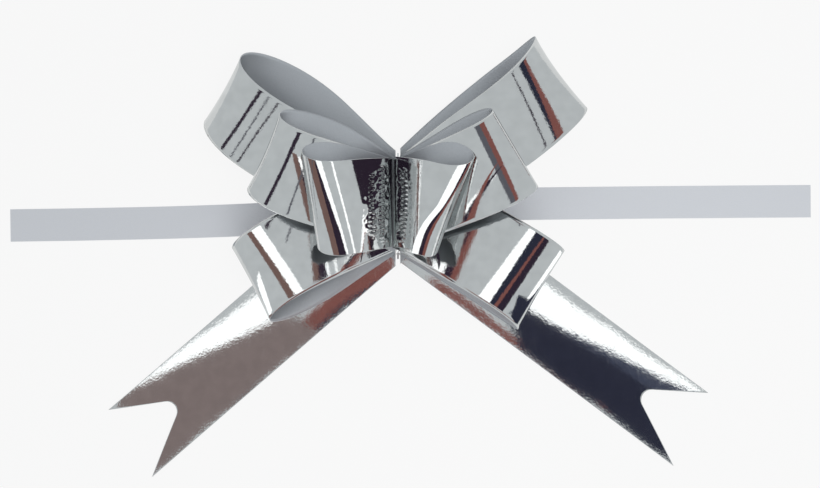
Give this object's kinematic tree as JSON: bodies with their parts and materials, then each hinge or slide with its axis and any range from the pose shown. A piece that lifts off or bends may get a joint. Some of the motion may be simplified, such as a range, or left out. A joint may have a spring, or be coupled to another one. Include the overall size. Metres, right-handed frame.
{
  "type": "gift bow",
  "caption": "Pull bow of silver metallised film, gathered on two pull ribbons: paired loops in layers, fishtail tails, ribbon ends to tie round a parcel.",
  "frame": {"origin": "middle of the pull ribbons' underside, where the bow rests on the parcel, on the axis of the gather", "axes": "+Z out of the bow's face along the gather, +X to the bow's right as seen from the front, +Y towards the large loops"},
  "size_m": [0.5061, 0.2757, 0.0628],
  "materials": {
    "mirror_film": "vacuum-metallised polypropylene film, mirror side",
    "matte_film": "metallised film, matte reverse side"
  },
  "bodies": {
    "base": {"pull_ribbon_core": "matte_film", "rear_weld": "mirror_film", "tail_root_left": "mirror_film", "tail_root_right": "mirror_film", "pull_ribbon_left": "matte_film", "pull_ribbon_right": "matte_film"},
    "tail_left": {"tail_left": "mirror_film"},
    "tail_right": {"tail_right": "mirror_film"},
    "lower_layer": {"large_lower_weld": "mirror_film"},
    "medium_layer": {"lower_medium_weld": "mirror_film"},
    "front_layer": {"medium_small_weld": "mirror_film", "front_weld": "mirror_film"},
    "large_loop_left": {"large_loop_left": "mirror_film"},
    "large_loop_right": {"large_loop_right": "mirror_film"},
    "lower_loop_left": {"lower_loop_left": "mirror_film"},
    "lower_loop_right": {"lower_loop_right": "mirror_film"},
    "medium_loop_left": {"medium_loop_left": "mirror_film"},
    "medium_loop_right": {"medium_loop_right": "mirror_film"},
    "small_loop_left": {"small_loop_left": "mirror_film"},
    "small_loop_right": {"small_loop_right": "mirror_film"}
  },
  "joints": [
    {"name": "gather_lower", "type": "slide", "parent": "base", "child": "lower_layer", "axis": [0, 0, 1], "range_m": [0, 0.002]},
    {"name": "gather_medium", "type": "slide", "parent": "lower_layer", "child": "medium_layer", "axis": [0, 0, 1], "range_m": [0, 0.002]},
    {"name": "gather_front", "type": "slide", "parent": "medium_layer", "child": "front_layer", "axis": [0, 0, 1], "range_m": [0, 0.002]},
    {"name": "lift_large_left", "type": "hinge", "parent": "base", "child": "large_loop_left", "pos_m": [0, 0, 0.0114], "axis": [0, 1, 0], "range_deg": [0, 9], "stiffness_Nm_per_rad": 0.01},
    {"name": "lift_lower_left", "type": "hinge", "parent": "lower_layer", "child": "lower_loop_left", "pos_m": [0, 0, 0.0186], "axis": [0, 1, 0], "range_deg": [0, 9.9], "stiffness_Nm_per_rad": 0.01},
    {"name": "lift_medium_left", "type": "hinge", "parent": "medium_layer", "child": "medium_loop_left", "pos_m": [0, 0, 0.0254], "axis": [0, 1, 0], "range_deg": [0, 10.8], "stiffness_Nm_per_rad": 0.01},
    {"name": "lift_small_left", "type": "hinge", "parent": "front_layer", "child": "small_loop_left", "pos_m": [0, 0, 0.037], "axis": [0, 1, 0], "range_deg": [0, 10.8], "stiffness_Nm_per_rad": 0.01},
    {"name": "lift_large_right", "type": "hinge", "parent": "base", "child": "large_loop_right", "pos_m": [0, 0, 0.0114], "axis": [0, -1, 0], "range_deg": [0, 9], "stiffness_Nm_per_rad": 0.01},
    {"name": "lift_lower_right", "type": "hinge", "parent": "lower_layer", "child": "lower_loop_right", "pos_m": [0, 0, 0.0186], "axis": [0, -1, 0], "range_deg": [0, 9.9], "stiffness_Nm_per_rad": 0.01},
    {"name": "lift_medium_right", "type": "hinge", "parent": "medium_layer", "child": "medium_loop_right", "pos_m": [0, 0, 0.0254], "axis": [0, -1, 0], "range_deg": [0, 10.8], "stiffness_Nm_per_rad": 0.01},
    {"name": "lift_small_right", "type": "hinge", "parent": "front_layer", "child": "small_loop_right", "pos_m": [0, 0, 0.037], "axis": [0, -1, 0], "range_deg": [0, 10.8], "stiffness_Nm_per_rad": 0.01},
    {"name": "fold_tail_left", "type": "hinge", "parent": "base", "child": "tail_left", "pos_m": [-0.07723, -0.07007, 0.0002], "axis": [-0.6547, 0.7559, 0], "range_deg": [-60, 20], "stiffness_Nm_per_rad": 0.006},
    {"name": "fold_tail_right", "type": "hinge", "parent": "base", "child": "tail_right", "pos_m": [0.08215, -0.06423, 0.0002], "axis": [-0.5976, -0.8018, 0], "range_deg": [-60, 20], "stiffness_Nm_per_rad": 0.006}
  ],
  "couplings": [
    {"joint": "gather_medium", "follows": "gather_lower", "ratio": 1},
    {"joint": "gather_front", "follows": "gather_lower", "ratio": 1},
    {"joint": "lift_lower_left", "follows": "lift_large_left", "ratio": 1.1},
    {"joint": "lift_medium_left", "follows": "lift_large_left", "ratio": 1.2},
    {"joint": "lift_small_left", "follows": "lift_large_left", "ratio": 1.2},
    {"joint": "lift_lower_right", "follows": "lift_large_right", "ratio": 1.1},
    {"joint": "lift_medium_right", "follows": "lift_large_right", "ratio": 1.2},
    {"joint": "lift_small_right", "follows": "lift_large_right", "ratio": 1.2}
  ]
}
